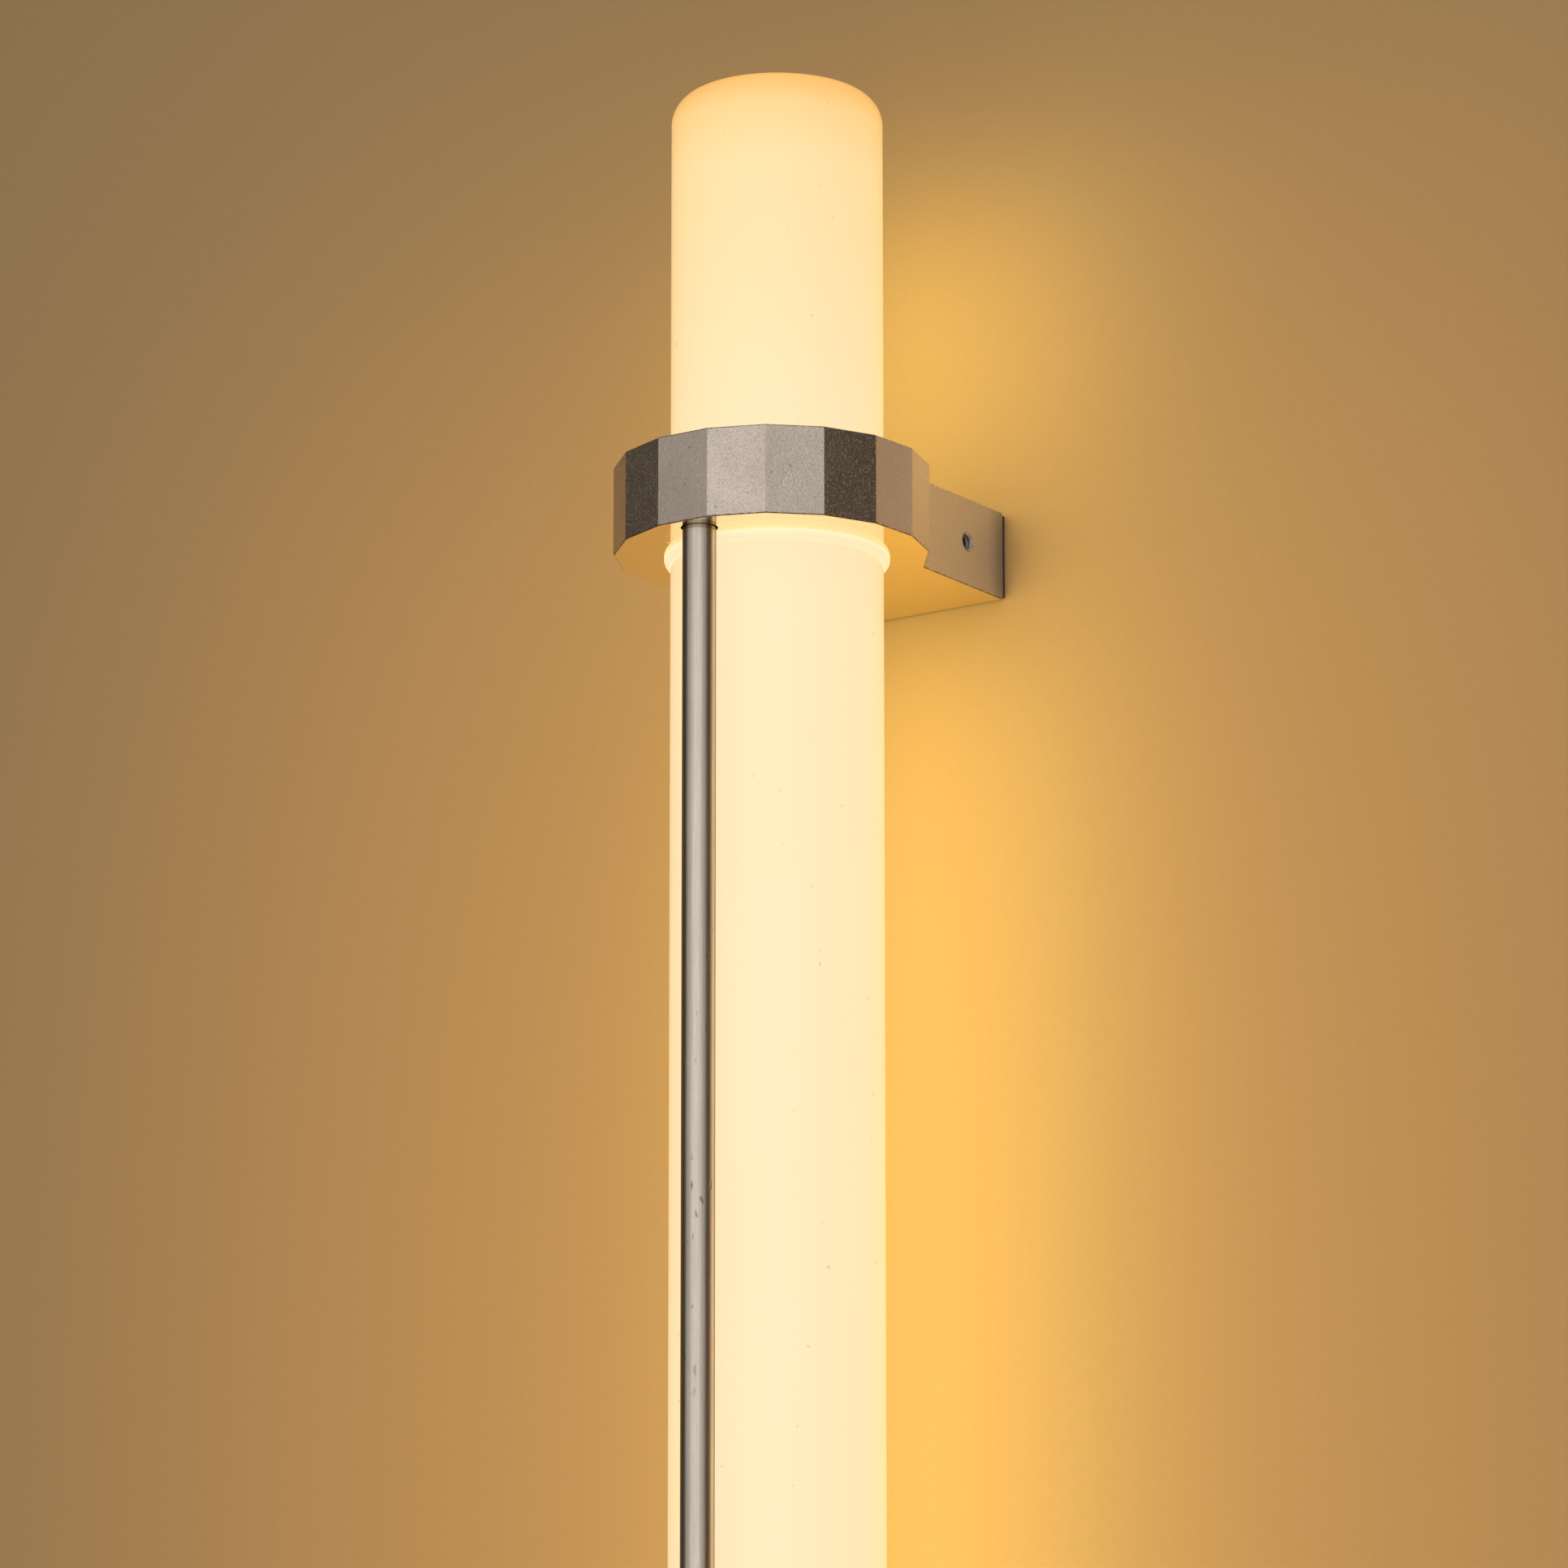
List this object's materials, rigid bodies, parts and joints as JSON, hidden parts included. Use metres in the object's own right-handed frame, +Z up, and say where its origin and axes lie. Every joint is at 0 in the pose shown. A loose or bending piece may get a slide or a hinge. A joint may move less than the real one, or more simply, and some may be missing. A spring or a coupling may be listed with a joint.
{
  "type": "tube wall light",
  "caption": "Tall lit opal tube held off a wall by two faceted metal collars on short arms, with a metal rod down its front.",
  "frame": {"origin": "centre of the upper wall bracket's back face, on the wall", "axes": "+Z up along the tube, +Y into the wall, +X to the right for someone facing the wall"},
  "size_m": [0.1034, 0.1391, 1.2],
  "materials": {
    "bracket_metal": "machined facets, bead-blasted, with a smooth underside",
    "rod_steel": "drawn bar, brushed lengthwise",
    "opal_acrylic": "satin opal, lit warm white from inside",
    "clear_silicone": "translucent, passes the tube's light",
    "dark_rubber": "matt black",
    "dark_steel": "black oxide",
    "screw_steel": "plain stainless",
    "zinc_steel": "zinc-plated sheet",
    "spine_aluminium": "mill finish",
    "white_plastic": "moulded, matt",
    "terminal_plastic": "moulded, matt",
    "strip_board": "white solder mask",
    "phosphor": "silicone over phosphor",
    "feed_wire_sleeve": "white sleeve",
    "brown_sleeve": "lead sleeve",
    "blue_sleeve": "lead sleeve",
    "earth_sleeve": "lead sleeve"
  },
  "bodies": {
    "wall_brackets": {"upper_wall_bracket": "zinc_steel", "lower_wall_bracket": "zinc_steel", "mains_terminal": "terminal_plastic"},
    "lamp": {"upper_bracket": "bracket_metal", "lower_bracket": "bracket_metal", "upper_wall_gasket": "dark_rubber", "lower_wall_gasket": "dark_rubber", "upper_grip_ring": "clear_silicone", "lower_grip_ring": "clear_silicone", "support_rod": "rod_steel", "upper_rod_screw": "dark_steel", "lower_rod_screw": "dark_steel", "diffuser_tube": "opal_acrylic", "end_cap": "opal_acrylic", "end_cap_seal": "dark_rubber", "end_cap_screw": "screw_steel", "led_spine": "spine_aluminium", "spine_foot": "spine_aluminium", "upper_centring_disc": "white_plastic", "lower_centring_disc": "white_plastic", "driver": "white_plastic", "strip_feed_wires": "feed_wire_sleeve", "lead_grommet": "dark_rubber", "lamp_plug": "terminal_plastic", "led_strip_front": "strip_board", "led_strip_right": "strip_board", "led_strip_left": "strip_board", "light_line_front": "phosphor", "light_line_right": "phosphor", "light_line_left": "phosphor", "live_lead": "brown_sleeve", "neutral_lead": "blue_sleeve", "earth_lead": "earth_sleeve"},
    "upper_side_screw_body": {"upper_side_screw": "dark_steel"},
    "lower_side_screw_body": {"lower_side_screw": "dark_steel"}
  },
  "joints": [
    {"name": "lamp_release", "type": "slide", "parent": "wall_brackets", "child": "lamp", "axis": [0, -1, 0], "range_m": [0, 0.03]},
    {"name": "upper_side_screw_travel", "type": "slide", "parent": "lamp", "child": "upper_side_screw_body", "axis": [1, 0, 0], "range_m": [0, 0.002]},
    {"name": "lower_side_screw_travel", "type": "slide", "parent": "lamp", "child": "lower_side_screw_body", "axis": [1, 0, 0], "range_m": [0, 0.002]}
  ]
}
